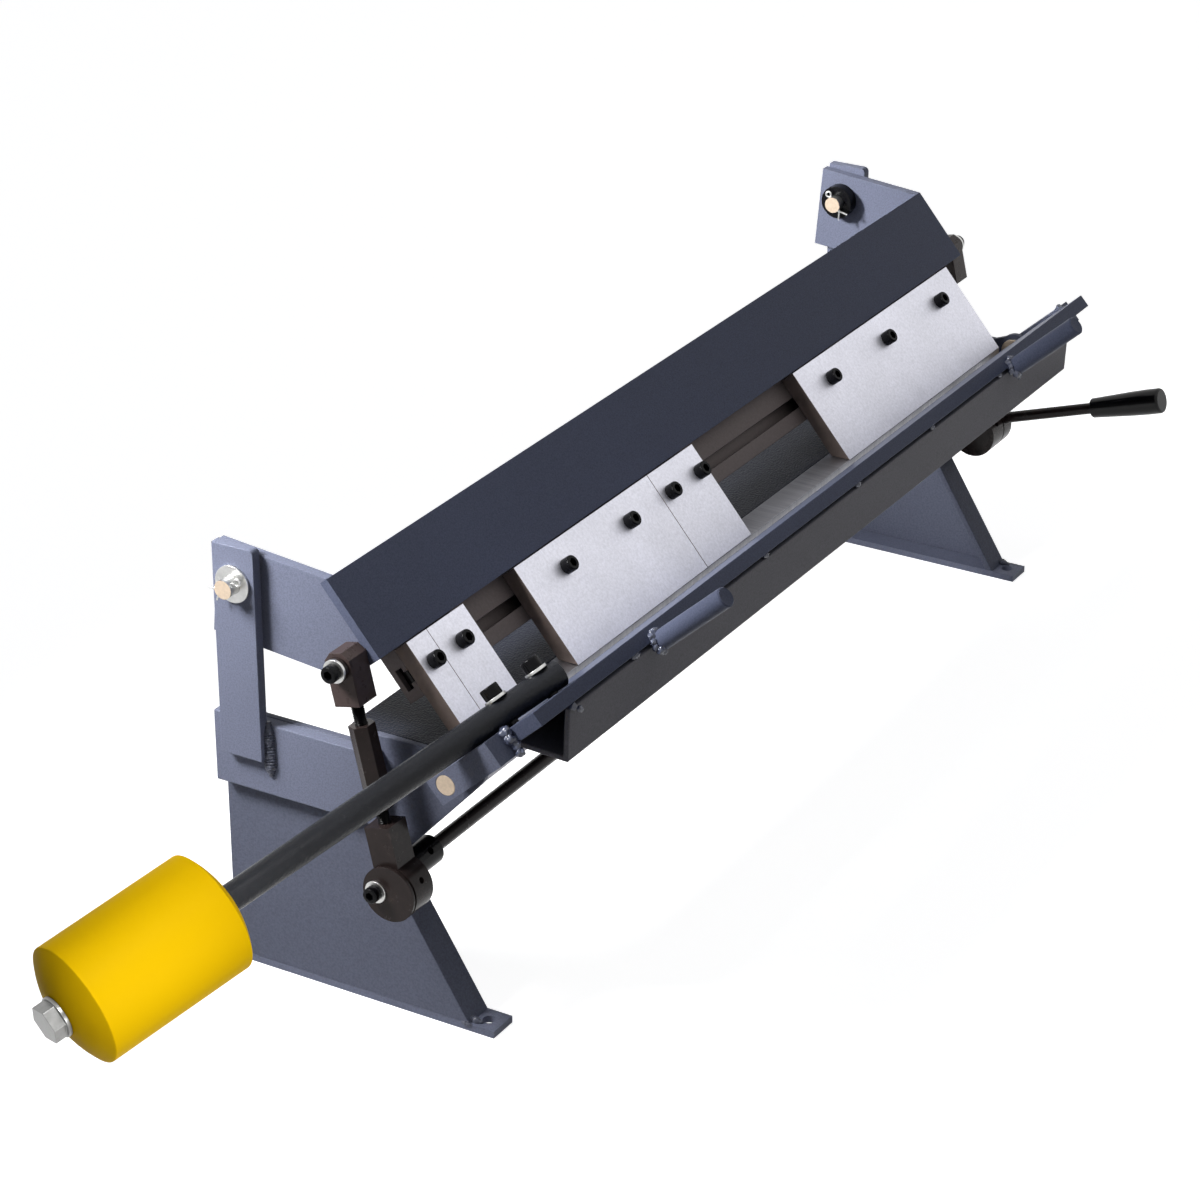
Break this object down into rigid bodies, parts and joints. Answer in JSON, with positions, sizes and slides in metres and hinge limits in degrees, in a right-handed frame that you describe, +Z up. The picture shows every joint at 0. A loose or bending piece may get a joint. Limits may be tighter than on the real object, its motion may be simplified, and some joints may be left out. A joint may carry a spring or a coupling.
{
  "type": "box and pan brake",
  "caption": "Bench box and pan brake: side frames with a bed, a clamping beam with sliding fingers lifted by an eccentric shaft and links, and a counterweighted bending leaf.",
  "frame": {"origin": "centre of the four foot bolt holes, on the face under the feet", "axes": "+X along the bed to the operator's right, -Y the operator's side, +Z up"},
  "size_m": [0.9308, 0.255, 0.2465],
  "materials": {
    "frame_paint": "dark blue-grey paint, lightly hammered",
    "rough_paint": "coarse textured dark paint",
    "machined_steel": "ground, matte",
    "zinc_plate": "bright zinc",
    "yellow_paint": "satin yellow",
    "grip_plastic": "glossy black",
    "rod_black": "satin black",
    "black_oxide": "black oxide, satin"
  },
  "bodies": {
    "frame": {"side_plates": "frame_paint", "feet": "frame_paint", "side_bars": "frame_paint", "pivot_posts": "frame_paint", "bed_angle_iron": "rough_paint", "bed_nose": "machined_steel", "rear_pins": "zinc_plate", "rear_washers": "zinc_plate", "rear_collars": "black_oxide", "rear_clips": "zinc_plate", "shaft_sleeves": "black_oxide", "hinge_pins": "zinc_plate"},
    "clamp_beam": {"clamp_beam": "frame_paint", "end_plates": "frame_paint", "tee_slot_bar": "machined_steel", "link_bolts": "black_oxide", "link_spacers": "black_oxide", "link_washers": "zinc_plate"},
    "cam_shaft": {"cam_shaft": "black_oxide", "left_eccentric": "black_oxide", "right_eccentric": "black_oxide", "cam_washers": "zinc_plate", "cam_screws": "black_oxide", "lever_rod": "black_oxide", "lever_grip": "grip_plastic"},
    "left_link": {"left_lower_block": "black_oxide", "left_stud": "black_oxide", "left_long_nut": "black_oxide", "left_upper_block": "black_oxide"},
    "right_link": {"right_lower_block": "black_oxide", "right_stud": "black_oxide", "right_long_nut": "black_oxide", "right_upper_block": "black_oxide"},
    "leaf": {"leaf_plate": "frame_paint", "leaf_angle": "frame_paint", "leaf_ears": "frame_paint", "leaf_handles": "frame_paint", "counterweight_rod": "rod_black", "counterweight": "yellow_paint", "weight_bolt": "zinc_plate", "rod_screws": "black_oxide", "rod_washers": "zinc_plate"},
    "finger_1": {"finger_1": "machined_steel", "finger_screws_1": "black_oxide", "tee_nuts_1": "black_oxide"},
    "finger_2": {"finger_2": "machined_steel", "finger_screws_2": "black_oxide", "tee_nuts_2": "black_oxide"},
    "finger_3": {"finger_3": "machined_steel", "finger_screws_3": "black_oxide", "tee_nuts_3": "black_oxide"},
    "finger_4": {"finger_4": "machined_steel", "finger_screws_4": "black_oxide", "tee_nuts_4": "black_oxide"},
    "finger_5": {"finger_5": "machined_steel", "finger_screws_5": "black_oxide", "tee_nuts_5": "black_oxide"}
  },
  "joints": [
    {"name": "leaf_hinge", "type": "hinge", "parent": "frame", "child": "leaf", "pos_m": [0, -0.0738, 0.151], "axis": [1, 0, 0], "range_deg": [-47.7, 42.3]},
    {"name": "shaft_turn", "type": "hinge", "parent": "frame", "child": "cam_shaft", "pos_m": [0, -0.0355, 0.0835], "axis": [-1, 0, 0], "range_deg": [0, 60]},
    {"name": "beam_hinge", "type": "hinge", "parent": "frame", "child": "clamp_beam", "pos_m": [0, 0.0525, 0.2265], "axis": [-1, 0, 0], "range_deg": [0, 6]},
    {"name": "left_link_turn", "type": "hinge", "parent": "cam_shaft", "child": "left_link", "pos_m": [0, -0.0425, 0.0835], "axis": [-1, 0, 0], "range_deg": [-63, 0]},
    {"name": "right_link_turn", "type": "hinge", "parent": "cam_shaft", "child": "right_link", "pos_m": [0, -0.0425, 0.0835], "axis": [-1, 0, 0], "range_deg": [-63, 0]},
    {"name": "finger_1_slide", "type": "slide", "parent": "clamp_beam", "child": "finger_1", "axis": [1, 0, 0], "range_m": [-0.003, 0]},
    {"name": "finger_2_slide", "type": "slide", "parent": "clamp_beam", "child": "finger_2", "axis": [1, 0, 0], "range_m": [0, 0.023]},
    {"name": "finger_3_slide", "type": "slide", "parent": "clamp_beam", "child": "finger_3", "axis": [1, 0, 0], "range_m": [-0.024, 0]},
    {"name": "finger_4_slide", "type": "slide", "parent": "clamp_beam", "child": "finger_4", "axis": [1, 0, 0], "range_m": [0, 0.058]},
    {"name": "finger_5_slide", "type": "slide", "parent": "clamp_beam", "child": "finger_5", "axis": [1, 0, 0], "range_m": [-0.06, 0.008]}
  ],
  "couplings": [
    {"joint": "beam_hinge", "follows": "shaft_turn", "ratio": 0.1},
    {"joint": "left_link_turn", "follows": "shaft_turn", "ratio": -1.0469},
    {"joint": "right_link_turn", "follows": "shaft_turn", "ratio": -1.0469}
  ]
}
